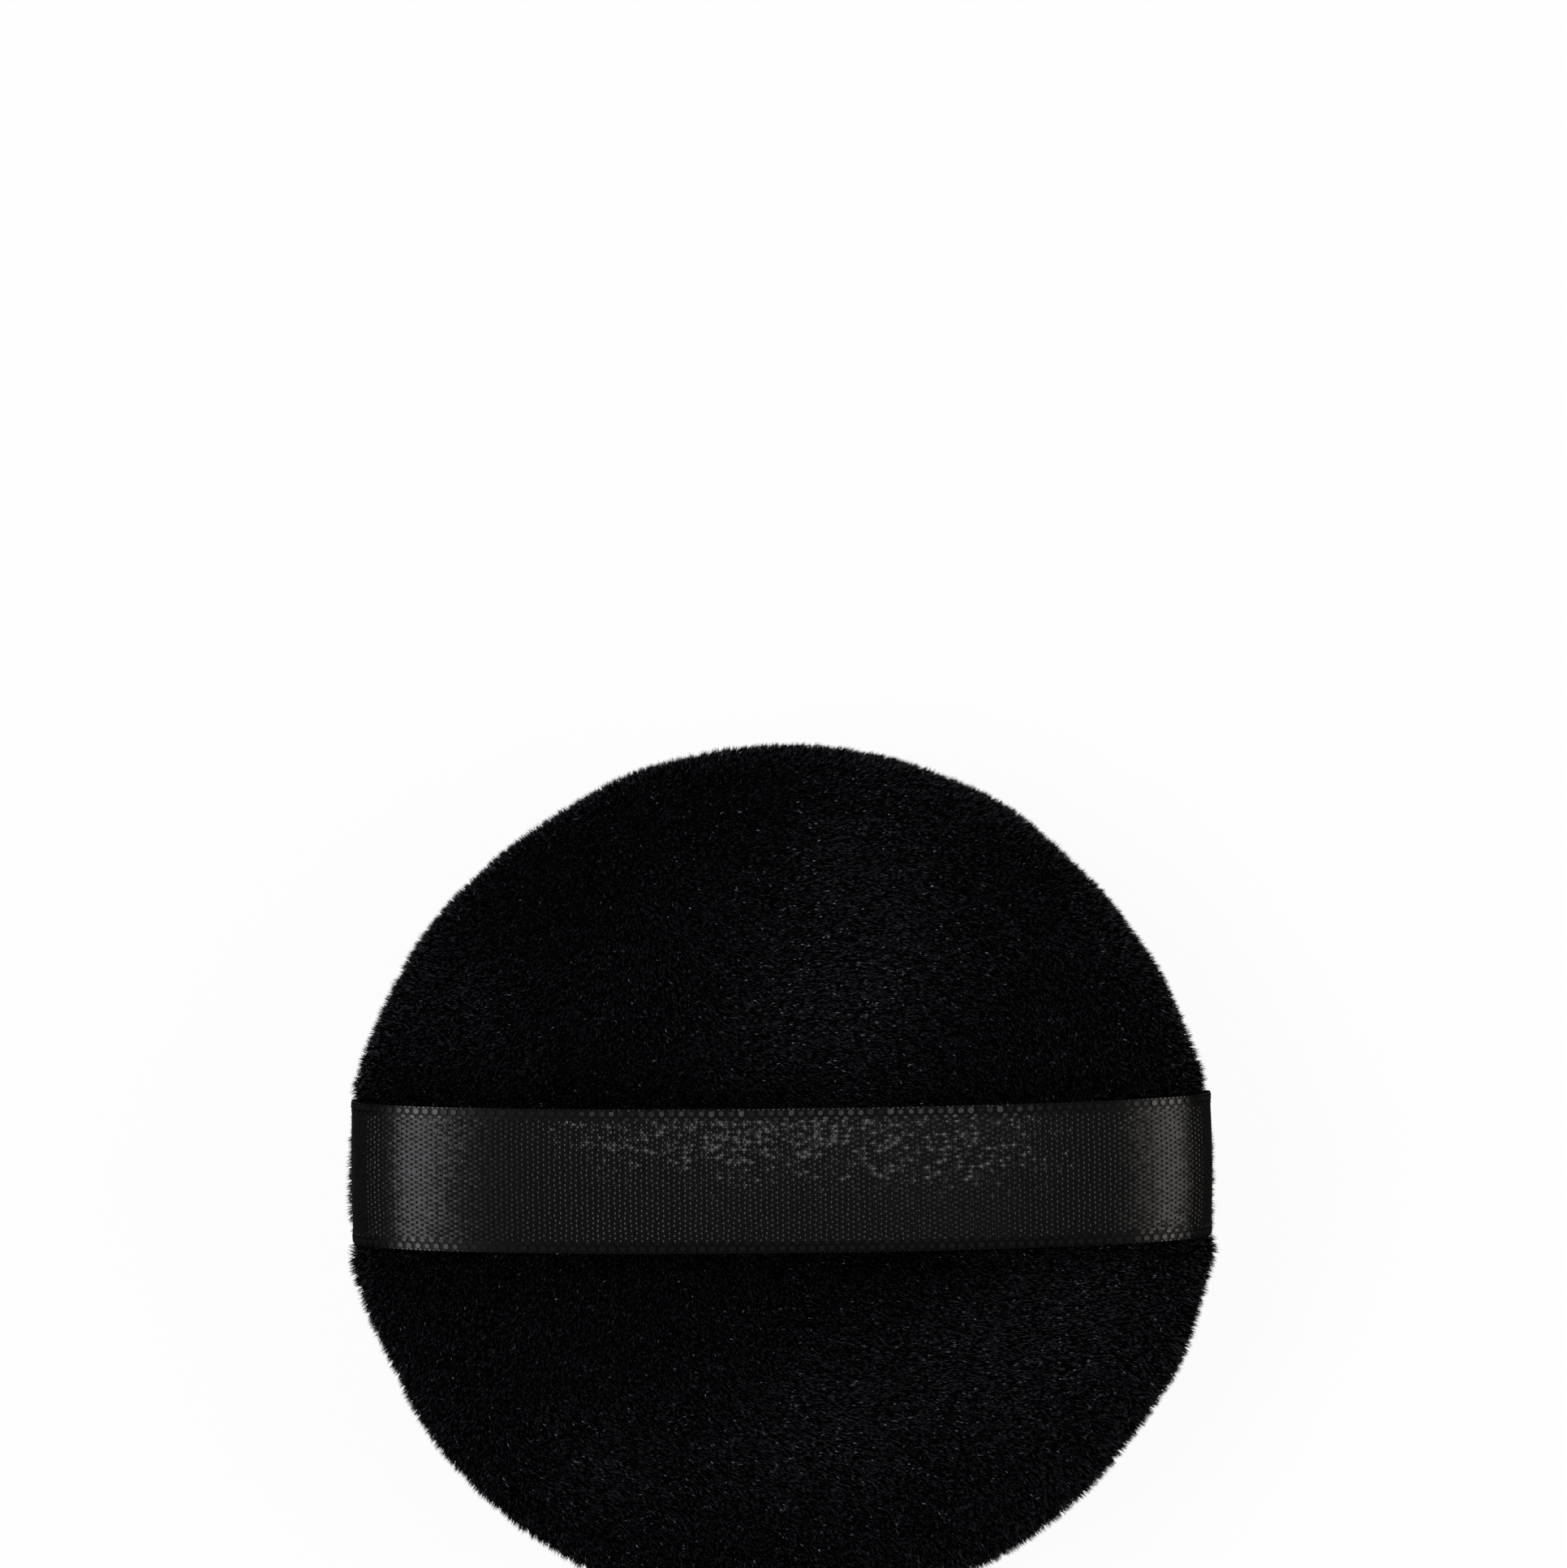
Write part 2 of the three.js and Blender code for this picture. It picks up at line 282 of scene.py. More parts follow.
# %% [markdown]
# ## The two velour covers
# Velour is a knitted ground with a dense cut pile. The ground of each cover is a round that swells over
# the foam, rolls in at the rim and ends in a turned-in edge. It could be sculpted, but a rule is easier
# to keep true to size: it starts as rings of points on a superellipse, one pile length inside the solid.

# %% Rings of one cover's ground
PILE = 0.6 * MM
RIM_INSET = 0.8 * MM
GROUND = 0.7 * MM
EDGE_GAP = 0.45 * MM
EDGE_WIDTH = 5.0 * MM
FOLD_RADIUS = RIM_RADIUS - 2.7 * MM
CROWN_POWER = 2.6
RESTING_RADIUS = 22 * MM
FLAT_RINGS = (0.25, 0.5, 0.75, 0.9)
CROWN_RINGS = 18
BEAD_RINGS = 6
EDGE_RINGS = 3
SPOKES = 192
RIM_WAVE_FADE = 3
# The waves of the rim: how many go round, their size in millimetres, and where they start.
RIM_WAVES = ((3, 0.1, 3.7), (4, 0.2, 2.6), (9, 0.07, 4.0), (13, 0.06, 1.2), (21, 0.04, 5.1))


def ground_profile(rise, flat):
    """(radius, height over the seam) of the ground, from the middle of the crown to the turned-in edge."""
    radius = RIM_RADIUS - RIM_INSET
    top = rise - PILE
    profile = [(0.0, top)]
    if flat:
        profile += [(flat * share, top) for share in FLAT_RINGS]
    for ring in range(0 if flat else 1, CROWN_RINGS + 1):
        angle = math.pi / 2 * ring / CROWN_RINGS
        across = math.sin(angle) ** (2 / CROWN_POWER)
        up = max(0.0, math.cos(angle)) ** (2 / CROWN_POWER)
        profile.append((flat + (radius - flat) * across, BEAD + (top - BEAD) * up))
    for ring in range(1, BEAD_RINGS + 1):
        angle = math.pi / 2 * ring / BEAD_RINGS
        inward = (radius - FOLD_RADIUS) * (1 - math.cos(angle))
        profile.append((radius - inward, BEAD - (BEAD - EDGE_GAP) * math.sin(angle)))
    for ring in range(1, EDGE_RINGS + 1):
        profile.append((FOLD_RADIUS - EDGE_WIDTH * ring / EDGE_RINGS, EDGE_GAP))
    return profile


def rim_wave(angle):
    """How far the rim stands out or in, in metres: sewn cloth is never a true circle."""
    return MM * sum(size * math.sin(count * angle + phase) for count, size, phase in RIM_WAVES)


def ground_sheet(name, rise, flat, side):
    """The ground as an open sheet of rings and spokes. Side is 1 for the back and -1 for the face."""
    profile = ground_profile(rise, flat)
    points = [(0, 0, SEAM_Z + side * profile[0][1])]
    for radius, height in profile[1:]:
        share = (radius / RIM_RADIUS) ** RIM_WAVE_FADE
        for spoke in range(SPOKES):
            angle = 2 * math.pi * spoke / SPOKES
            reach = radius + share * rim_wave(angle)
            points.append((reach * math.cos(angle), reach * math.sin(angle), SEAM_Z + side * height))
    faces = [(0, 1 + spoke, 1 + (spoke + 1) % SPOKES) for spoke in range(SPOKES)]
    for ring in range(len(profile) - 2):
        inner = 1 + ring * SPOKES
        outer = inner + SPOKES
        for spoke in range(SPOKES):
            after = (spoke + 1) % SPOKES
            faces.append((inner + spoke, outer + spoke, outer + after, inner + after))
    if side < 0:
        faces = [face[::-1] for face in faces]
    return new_piece(name, points, faces)


back_ground = ground_sheet("back_velour_ground", CROWN_Z - SEAM_Z, 0, 1)
face_ground = ground_sheet("face_velour_ground", SEAM_Z - face_low.z, RESTING_RADIUS, -1)
print(f"each ground has about {len(back_ground.data.vertices)} points")


# %% [markdown]
# ## Settling the covers on the foam
# A sewn cover is a little too large for its filling, and the spare cloth swells and puckers. A short
# cloth simulation does the same: the ground is cut 2 % too large, held where it is sewn, and pressed on a
# body the shape of the foam. It is run at ten times the size, where the solver is at its best. After it,
# the rim is pressed in where the ribbon's upright ends hold it, and stands out beside them.

# %% The cloth simulation
CLOTH_SCALE = 10
CLOTH_FRAMES = 25
CLOTH_STEPS = 7
CLOTH_EXCESS = 0.02
CLOTH_PRESSURE = -0.5
CLOTH_GAP = 0.2 * MM
STRETCH_STIFFNESS = 30
SHEAR_STIFFNESS = 10
BENDING_STIFFNESS = 5
FOAM_UNDER = 0.3 * MM
FOAM_DEPTH = 5 * MM
FOAM_FRICTION = 5


def foam_under(ground):
    """A body just inside the ground that the cloth can't pass through."""
    mesh = ground.data.copy()
    for vertex, outer in zip(mesh.vertices, ground.data.vertices):
        vertex.co = outer.co - outer.normal * FOAM_UNDER * CLOTH_SCALE
    body = new_object("foam_under", mesh)
    body.modifiers.new("collision", "COLLISION")
    body.collision.thickness_outer = CLOTH_GAP * CLOTH_SCALE
    body.collision.thickness_inner = FOAM_DEPTH * CLOTH_SCALE
    body.collision.cloth_friction = FOAM_FRICTION
    return body


def settle(ground):
    """Lets the cover, cut a little too large and sewn at its edge, settle on the foam."""
    mesh = ground.data
    mesh.transform(Matrix.Scale(CLOTH_SCALE, 4))
    body = foam_under(ground)
    sewn = ground.vertex_groups.new(name="sewn")
    count = len(mesh.vertices)
    sewn.add(list(range(count - EDGE_RINGS * SPOKES, count)), 1.0, "REPLACE")
    cloth = ground.modifiers.new("cloth", "CLOTH")
    settings = cloth.settings
    settings.quality = CLOTH_STEPS
    settings.vertex_group_mass = sewn.name
    settings.tension_stiffness = STRETCH_STIFFNESS
    settings.compression_stiffness = STRETCH_STIFFNESS
    settings.shear_stiffness = SHEAR_STIFFNESS
    settings.bending_stiffness = BENDING_STIFFNESS
    settings.shrink_min = -CLOTH_EXCESS
    settings.use_pressure = True
    settings.uniform_pressure_force = CLOTH_PRESSURE
    settings.effector_weights.gravity = 0
    cloth.collision_settings.distance_min = CLOTH_GAP * CLOTH_SCALE
    for frame_number in range(1, CLOTH_FRAMES + 1):
        bpy.context.scene.frame_set(frame_number)
    bake_modifiers(ground)
    ground.vertex_groups.clear()
    ground.data.transform(Matrix.Scale(1 / CLOTH_SCALE, 4))
    bpy.context.scene.frame_set(1)
    bpy.data.objects.remove(body)


# %% Press the rim under the ribbon's ends, and the face on the floor
PRESS_GAP = 0.75 * MM
PRESS_FADE = 0.6 * MM
BULGE = 0.3 * MM
BULGE_BESIDE = 1.5 * MM
BULGE_WIDTH = 2.5 * MM
RIM_SHARE = 0.9
# The sewn ribbon bows sideways: its ends lie two thirds of the bow to one side of RIBBON_Y, and its middle
# one third to the other.
RIBBON_BOW = 0.6 * MM
RIBBON_END_Y = RIBBON_Y + RIBBON_BOW * 2 / 3


def press_rim(ground):
    """The ribbon's upright ends press the rim in, and just beside them it bulges out."""
    limit = RIBBON_REACH - PRESS_GAP
    for vertex in ground.data.vertices:
        if abs(vertex.co.x) < RIM_SHARE * RIM_RADIUS or vertex.co.z < SEAM_Z:
            continue
        beside = abs(vertex.co.y - RIBBON_END_Y) - RIBBON_WIDTH / 2
        reach = abs(vertex.co.x)
        if beside > 0:
            reach += BULGE * math.exp(-(((beside - BULGE_BESIDE) / BULGE_WIDTH) ** 2))
        hold = min(1.0, max(0.0, 1 - beside / PRESS_FADE))
        reach -= hold * max(0.0, reach - limit)
        vertex.co.x = math.copysign(reach, vertex.co.x)


def rest_on_floor(ground):
    """No point of the ground lies lower than its pile is long, because the puff stands on its pile."""
    for vertex in ground.data.vertices:
        vertex.co.z = max(vertex.co.z, PILE)


for ground in (back_ground, face_ground):
    settle(ground)
    press_rim(ground)
    rest_on_floor(ground)
    print(f"{ground.name} reaches {max(v.co.x for v in ground.data.vertices) / MM:.2f} mm at the rim")


# %% [markdown]
# ## The pile
# The pile is what the eye sees: hundreds of thousands of black fibres that gather in small tufts and lie
# over in patches where a hand has brushed them. Hair curves would not survive an export, so Geometry
# Nodes set a thin three-sided cone, about 0.6 mm long, on each of many random points of the ground. Real
# pile is finer and denser than the cones, which are as coarse as they need to be to show. The nap, the
# way that the pile lies, is worked out here for each point of the ground and stored there as an
# attribute that the node tree reads.

# %% Where the pile lies over
NAP_REST = Vector((0.1, -0.3, 0))
NAP_DRIFT = 0.3
NAP_DRIFT_SIZE = 9 * MM
NAP_SEED = 3
# Each stroke of the hand: its middle and its radius in millimetres, and the lean that it adds.
NAP_STROKES = (
    ((5, 19), 14, (1.5, 0.3)),
    ((9, 32), 7, (0.7, 0.2)),
    ((-31, 16), 7, (-0.9, 0.3)),
    ((33, 22), 5, (0.8, 0.2)),
    ((-17, -26), 9, (1.0, 0.1)),
    ((3, -23), 10, (1.2, 0.2)),
    ((19, -17), 10, (1.3, 0.3)),
    ((29, -12), 8, (1.0, 0.2)),
    ((-12, 20), 9, (-0.2, -0.45)),
    ((27, 12), 8, (-0.2, -0.5)),
    ((-22, -14), 9, (-0.2, -0.5)),
    ((-5, -12), 7, (-0.1, -0.4)),
)

# Left alone, this noise takes its seed from the clock, and the nap would change from run to run.
noise.seed_set(NAP_SEED)


def nap_at(point):
    """The way the pile leans at a point: a sideways vector as long as the tangent of its lean."""
    nap = NAP_REST.copy()
    for (x, y), radius, (along, up) in NAP_STROKES:
        distance = math.hypot(point.x / MM - x, point.y / MM - y) / radius
        nap += Vector((along, up, 0)) * math.exp(-distance * distance)
    drift = noise.noise_vector(point / NAP_DRIFT_SIZE)
    return nap + NAP_DRIFT * Vector((drift.x, drift.y, 0))


# %% How much pile stands, and how long
RIM_START = RIM_RADIUS - 2.4 * MM
RIM_END = RIM_RADIUS - 1.0 * MM
RIM_GROWTH = 0.65
FACE_RIM = RIM_RADIUS - 1.5 * MM
FACE_RIM_SHARE = 2.1
BARE_BESIDE = 0.1 * MM
BARE_FROM = RIM_RADIUS - 2.0 * MM


def pile_share(point):
    """How much pile stands at a point: more at the face's rim, none where the ribbon presses on it."""
    if point.z < SEAM_Z:
        return 1.0 if math.hypot(point.x, point.y) < FACE_RIM else FACE_RIM_SHARE
    under_ribbon = abs(point.y - RIBBON_END_Y) < RIBBON_WIDTH / 2 + BARE_BESIDE
    return 0.0 if under_ribbon and abs(point.x) > BARE_FROM else 1.0


def pile_length(point):
    """The pile's length as a share of PILE: it stands longer where the cloth rolls over the rim."""
    over = (math.hypot(point.x, point.y) - RIM_START) / (RIM_END - RIM_START)
    return 1 + RIM_GROWTH * min(1.0, max(0.0, over))


def mark_pile(ground):
    """Stores the nap, the pile's share and its length on the ground's points, for the tree to read."""
    mesh = ground.data
    naps = [c for vertex in mesh.vertices for c in nap_at(vertex.co)]
    mesh.attributes.new("nap", "FLOAT_VECTOR", "POINT").data.foreach_set("vector", naps)
    for label, rule in (("share", pile_share), ("length", pile_length)):
        values = [rule(vertex.co) for vertex in mesh.vertices]
        mesh.attributes.new(label, "FLOAT", "POINT").data.foreach_set("value", values)


# %% [markdown]
# ## The tree that grows the pile
# The tree scatters the roots, finds the way of each fibre and sets a cone on each root. A fibre leans
# with the nap, towards the nearest of a sparser set of points that stand for the tufts, and a little at
# random. A random number on each root, its lot, picks one of three finishes: dull and painted darker as
# shade, soft or shiny. Shiny fibres wander more and keep flat facets, so that single facets catch the light
# as the fine sparkle of velour.

# %% A tree with named inputs
def new_tree(name, inputs, output):
    """A Geometry Nodes tree, its input sockets, and the identifiers that a modifier sets them by."""
    tree = bpy.data.node_groups.new(name, "GeometryNodeTree")
    identifiers = {}
    for label, kind in inputs.items():
        socket = tree.interface.new_socket(label, in_out="INPUT", socket_type=f"NodeSocket{kind}")
        identifiers[label] = socket.identifier
    tree.interface.new_socket(output, in_out="OUTPUT", socket_type="NodeSocketGeometry")
    given = add_node(tree, "NodeGroupInput").outputs
    return tree, given, identifiers


def worked_out(piece, modifier, identifiers, values, name):
    """The mesh that a piece's node tree makes from these input values."""
    for label, value in values.items():
        modifier[identifiers[label]] = value
    piece.update_tag()
    bpy.context.view_layer.update()
    mesh = evaluated_mesh(piece)
    mesh.name = name
    return mesh


# %% Roots, and the way that each fibre goes
PILE_INPUTS = {
    "Ground": "Geometry",
    "Fibres per area": "Float",
    "Tufts per area": "Float",
    "Fibre length": "Float",
    "Fibre width": "Float",
    "Tuft pull": "Float",
    "Wander": "Float",
    "Shiny wander": "Float",
    "Shiny length": "Float",
    "From angle": "Float",
    "To angle": "Float",
    "Seed": "Int",
}
TUFT_SEED = 77
TUFT_POWER = 2.0


def read(tree, attribute, kind="FLOAT"):
    """A stored attribute of the points that the tree is working on."""
    return add_node(tree, "GeometryNodeInputNamedAttribute", {"Name": attribute}, data_type=kind).outputs[0]


def scatter(tree, given, density, seed):
    """Random points on the ground."""
    return add_node(
        tree,
        "GeometryNodeDistributePointsOnFaces",
        {"Mesh": given["Ground"], "Density": density, "Seed": seed},
        distribute_method="RANDOM",
    )


def tuft_lean(tree, given):
    """The lean towards the nearest tuft, stronger where the pile is longer."""
    tufts = scatter(tree, given, given["Tufts per area"], TUFT_SEED)
    position = add_node(tree, "GeometryNodeInputPosition")
    nearest = add_node(tree, "GeometryNodeSampleNearest", {"Geometry": tufts, "Sample Position": position})
    tuft = add_node(
        tree,
        "GeometryNodeSampleIndex",
        {"Geometry": tufts, "Value": position, "Index": nearest},
        data_type="FLOAT_VECTOR",
    )
    towards = add_node(tree, "ShaderNodeVectorMath", {0: tuft, 1: position}, operation="SUBTRACT")
    longer = add_node(tree, "ShaderNodeMath", {0: read(tree, "length"), 1: TUFT_POWER}, operation="POWER")
    pull = add_node(tree, "ShaderNodeMath", {0: given["Tuft pull"], 1: longer}, operation="MULTIPLY")
    pull = add_node(tree, "ShaderNodeMath", {0: pull, 1: given["Fibre length"]}, operation="DIVIDE")
    return add_node(tree, "ShaderNodeVectorMath", {0: towards, "Scale": pull}, operation="SCALE")


def stray_lean(tree, given, is_shiny):
    """The lean of each fibre's own, larger for the shiny ones."""
    limits = {0: (-1, -1, -1), 1: (1, 1, 1), "Seed": 5}
    stray = add_node(tree, "FunctionNodeRandomValue", limits, data_type="FLOAT_VECTOR")
    wander = add_node(tree, "ShaderNodeMix", {0: is_shiny, 2: given["Wander"], 3: given["Shiny wander"]})
    return add_node(tree, "ShaderNodeVectorMath", {0: stray, "Scale": wander}, operation="SCALE")


# %% Set a cone on each root
SHORTEST_FIBRE = 0.65


def cone_sizes(tree, given, is_shiny):
    """Each fibre's width and length: lengths differ at random, and shiny fibres are shorter."""
    limits = {2: SHORTEST_FIBRE, 3: 1.0, "Seed": 23}
    tall = add_node(tree, "FunctionNodeRandomValue", limits, data_type="FLOAT").outputs[1]
    cut = add_node(tree, "ShaderNodeMix", {0: is_shiny, 2: 1.0, 3: given["Shiny length"]})
    length = given["Fibre length"]
    for factor in (tall, read(tree, "length"), cut):
        length = add_node(tree, "ShaderNodeMath", {0: length, 1: factor}, operation="MULTIPLY")
    width = given["Fibre width"]
    return add_node(tree, "ShaderNodeCombineXYZ", {0: width, 1: width, 2: length})


def in_sector(tree, given):
    """Whether a root lies between the two angles round the puff."""
    place = add_node(tree, "ShaderNodeSeparateXYZ", {0: add_node(tree, "GeometryNodeInputPosition")})
    angle = add_node(tree, "ShaderNodeMath", {0: place.outputs[1], 1: place.outputs[0]}, operation="ARCTAN2")
    after = add_node(
        tree, "FunctionNodeCompare", {0: angle, 1: given["From angle"]}, operation="GREATER_EQUAL"
    )
    before = add_node(tree, "FunctionNodeCompare", {0: angle, 1: given["To angle"]}, operation="LESS_THAN")
    return add_node(tree, "FunctionNodeBooleanMath", {0: after, 1: before}, operation="AND")


def set_cones(tree, given, roots, shiny_from):
    """Three-sided cones on the roots, along their stored way and turned at random."""
    cone = add_node(
        tree,
        "GeometryNodeMeshCone",
        {"Vertices": 3, "Radius Top": 0.0, "Radius Bottom": 0.5, "Depth": 1.0},
        fill_type="NGON",
    )
    spin = add_node(tree, "FunctionNodeRandomValue", {2: 0.0, 3: 2 * math.pi, "Seed": 17}, data_type="FLOAT")
    turn = add_node(tree, "FunctionNodeAxisAngleToRotation", {"Axis": (0, 0, 1), "Angle": spin.outputs[1]})
    way = read(tree, "way", "FLOAT_VECTOR")
    turned = {"Rotation": turn, "Vector": way}
    aligned = add_node(tree, "FunctionNodeAlignRotationToVector", turned, axis="Z")
    lot = read(tree, "lot")
    is_shiny = add_node(tree, "ShaderNodeMath", {0: lot, 1: shiny_from}, operation="GREATER_THAN")
    fibres = add_node(
        tree,
        "GeometryNodeInstanceOnPoints",
        {
            "Points": roots,
            "Selection": in_sector(tree, given),
            "Instance": cone,
            "Rotation": aligned,
            "Scale": cone_sizes(tree, given, is_shiny),
        },
    )
    return add_node(tree, "GeometryNodeRealizeInstances", {"Geometry": fibres})


# %% The whole tree
def pile_tree(name, lots):
    """Grows the pile of one sector. Lots are the finishes, each with the lot that it starts from."""
    tree, given, identifiers = new_tree(name, PILE_INPUTS, "Pile")
    shiny_from = lots[-1][1]
    wanted = {0: given["Fibres per area"], 1: read(tree, "share")}
    density = add_node(tree, "ShaderNodeMath", wanted, operation="MULTIPLY")
    roots = scatter(tree, given, density, given["Seed"])
    draw = add_node(tree, "FunctionNodeRandomValue", {2: 0.0, 3: 1.0, "Seed": 11}, data_type="FLOAT")
    lot = draw.outputs[1]
    is_shiny = add_node(tree, "ShaderNodeMath", {0: lot, 1: shiny_from}, operation="GREATER_THAN")
    nap = read(tree, "nap", "FLOAT_VECTOR")
    way = roots.outputs["Normal"]
    for lean in (nap, tuft_lean(tree, given), stray_lean(tree, given, is_shiny)):
        way = add_node(tree, "ShaderNodeVectorMath", {0: way, 1: lean}, operation="ADD")
    marked = roots
    for label, value, kind in (("way", way, "FLOAT_VECTOR"), ("lot", lot, "FLOAT")):
        marked = add_node(
            tree,
            "GeometryNodeStoreNamedAttribute",
            {"Geometry": marked, "Name": label, "Value": value},
            data_type=kind,
        )
    pile = set_cones(tree, given, marked, shiny_from)
    lot = read(tree, "lot")
    rounded = add_node(tree, "FunctionNodeCompare", {0: lot, 1: shiny_from}, operation="LESS_THAN")
    pile = add_node(tree, "GeometryNodeSetShadeSmooth", {0: pile, "Shade Smooth": rounded})
    for material, from_lot in lots:
        chosen = add_node(tree, "FunctionNodeCompare", {0: lot, 1: from_lot}, operation="GREATER_EQUAL")
        dyed = {"Geometry": pile, "Selection": chosen, "Material": material}
        pile = add_node(tree, "GeometryNodeSetMaterial", dyed)
    add_node(tree, "NodeGroupOutput", {"Pile": pile})
    return tree, identifiers


# %% [markdown]
# ## The pile's finishes
# The fibre is polyester, dyed black in the mass and cut. Two fifths of it are dull, and painted darker than
# the rest as painted shade for the light that is lost between the fibres. About a third has a soft gloss
# that follows the nap and makes the light and dark patches, and the shiny quarter gives the sparkle, a
# little blue as black dye is. The colours are plain constants, because the variation is in the fibres
# themselves.

# %% Dull fibre with painted shade, soft and shiny fibre
BLUE_GLOSS = (0.83, 0.82, 1.0, 1.0)

# Dyed polyester, matt, with no gloss and darker than the other lots: painted shade for light lost in the
# pile.
dull_shaded_fibre, _, _ = new_material(
    "dull shaded black polyester pile", Base_Color=linear("080809"), Roughness=0.8, Specular_IOR_Level=0.0
)
# The same fibre where it lies over: a soft sheen that comes and goes with the nap.
soft_fibre, _, _ = new_material(
    "soft black polyester pile",
    Base_Color=linear("0b0b0d"),
    Roughness=0.42,
    Specular_IOR_Level=0.55,
    Specular_Tint=BLUE_GLOSS,
)
# The same fibre, cut smooth: single facets that sparkle.
shiny_fibre, _, _ = new_material(
    "shiny black polyester pile",
    Base_Color=linear("0b0b10"),
    Roughness=0.28,
    Specular_IOR_Level=0.65,
    Specular_Tint=BLUE_GLOSS,
)
PILE_LOTS = ((dull_shaded_fibre, 0.0), (soft_fibre, 0.4), (shiny_fibre, 0.75))
grow, grow_inputs = pile_tree("grow pile", PILE_LOTS)
print(f"the pile's tree has {len(grow.nodes)} nodes")


# %% [markdown]
# ## Growing the pile
# The pile of each cover is made in six sectors, because one mesh of it all would be too large to export
# whole. The turned-in edge carries none. Inside the seam nobody sees it, and there is no room for it.

# %% Grow both covers' pile
SECTORS = 6
# Real fibre is a fifth as thick and far denser. It is drawn as coarse as it needs to be to show.
FIBRE_WIDTH = 0.095 * MM
BACK_FIBRES_PER_MM2 = 44
FACE_FIBRES_PER_MM2 = 19
TUFTS_PER_MM2 = 2.2
TUFT_PULL = 0.2
WANDER = 0.3
SHINY_WANDER = 0.75
SHINY_LENGTH = 0.65


def outer_ground(ground):
    """The part of the ground that carries pile: all but the turned-in edge."""
    keep = len(ground.data.vertices) - EDGE_RINGS * SPOKES
    points = [v.co.copy() for v in ground.data.vertices[:keep]]
    faces = [tuple(p.vertices) for p in ground.data.polygons if max(p.vertices) < keep]
    return new_piece(ground.name + "_outside", points, faces)


def grow_pile(ground, name, fibres, seed):
    """Grows one cover's pile, sector by sector, as plain meshes."""
    outside = outer_ground(ground)
    mark_pile(outside)
    modifier = outside.modifiers.new("pile", "NODES")
    modifier.node_group = grow
    values = {
        "Fibres per area": fibres / MM**2,
        "Tufts per area": TUFTS_PER_MM2 / MM**2,
        "Fibre length": PILE,
        "Fibre width": FIBRE_WIDTH,
        "Tuft pull": TUFT_PULL,
        "Wander": WANDER,
        "Shiny wander": SHINY_WANDER,
        "Shiny length": SHINY_LENGTH,
        "Seed": seed,
    }
    faces = 0
    for sector in range(SECTORS):
        values["From angle"] = -math.pi + 2 * math.pi * sector / SECTORS
        values["To angle"] = -math.pi + 2 * math.pi * (sector + 1) / SECTORS
        mesh = worked_out(outside, modifier, grow_inputs, values, f"{name}_{sector + 1}")
        for attribute in ("way", "lot", "nap", "share", "length"):
            if attribute in mesh.attributes:
                mesh.attributes.remove(mesh.attributes[attribute])
        piece = new_object(mesh.name, mesh)
        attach(piece, "puff")
        faces += len(mesh.polygons)
    bpy.data.objects.remove(outside)
    lowest = min(v.co.z for v in mesh.vertices)
    print(f"{name}: {faces} faces in {SECTORS} pieces, the last one from {lowest / MM:.2f} mm up")


grow_pile(back_ground, "back_pile", BACK_FIBRES_PER_MM2, 1)
grow_pile(face_ground, "face_pile", FACE_FIBRES_PER_MM2, 2)


# %% [markdown]
# ## The ground cloth
# Under the pile lies a warp-knitted polyester ground, black and matt. It shows only where the pile parts,
# as small loops. The sheet gets its thickness now that the pile has been grown on its outer side.

# %% Finish the grounds as closed cloth
KNIT_PITCH = 0.8 * MM

# Warp-knitted polyester, dyed black: small matt loops, drawn coarser than the real 0.5 mm to show at all.
knit, tree, shader = new_material("black knitted polyester", Roughness=0.95, Specular_IOR_Level=0.0)
loops = add_node(tree, "ShaderNodeTexVoronoi", {"Scale": 1 / KNIT_PITCH})
colour_by_pattern(tree, shader, loops, 0, "050506", "020203", depth=0.1 * MM)
for ground, node in ((back_ground, "back_velour"), (face_ground, "face_velour")):
    add_wall(ground, GROUND)
    ground.data.materials.append(knit)
    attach(ground, "puff")
    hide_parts(node)
    print(f"{ground.name}: {len(ground.data.polygons)} faces")


# %% [markdown]
# ## The ribbon
# The strap is a 13 mm satin ribbon. Its ends are caught in the rim seam, and it stands over the back in a
# low arch that leaves room for the fingers. A flat sheet of points is laid along that arch first, a
# little bowed to one side, crowned across and gently waved, because cloth under light tension is never a
# ruled surface. A curve with a flat profile could make it too, but rows of points give it a UV map that
# counts along and across the ribbon, and the weave is laid on it through that map in the next step.

# %% The path of the ribbon
RIBBON_THICKNESS = 0.3 * MM
RIBBON_POWER = 3.4
ARCH_STEPS = 36
BEND_RADIUS = 1 * MM
BEND_STEPS = 6
TAIL_LENGTH = 5.4 * MM


def half_path():
    """(x, z) of the ribbon's middle, from the top of the arch to the end of the right tail."""
    side = RIBBON_REACH - RIBBON_THICKNESS / 2
    foot = SEAM_Z + BEND_RADIUS
    rise = RIBBON_TOP - RIBBON_THICKNESS / 2 - foot
    path = []
    for step in range(ARCH_STEPS):
        angle = math.pi / 2 * step / ARCH_STEPS
        across = math.sin(angle) ** (2 / RIBBON_POWER)
        up = math.cos(angle) ** (2 / RIBBON_POWER)
        path.append((side * across, foot + rise * up))
    for step in range(BEND_STEPS + 1):
        angle = math.pi / 2 * step / BEND_STEPS
        down = SEAM_Z + BEND_RADIUS * (1 - math.sin(angle))
        path.append((side - BEND_RADIUS * (1 - math.cos(angle)), down))
    path.append((side - BEND_RADIUS - TAIL_LENGTH, SEAM_Z))
    return path


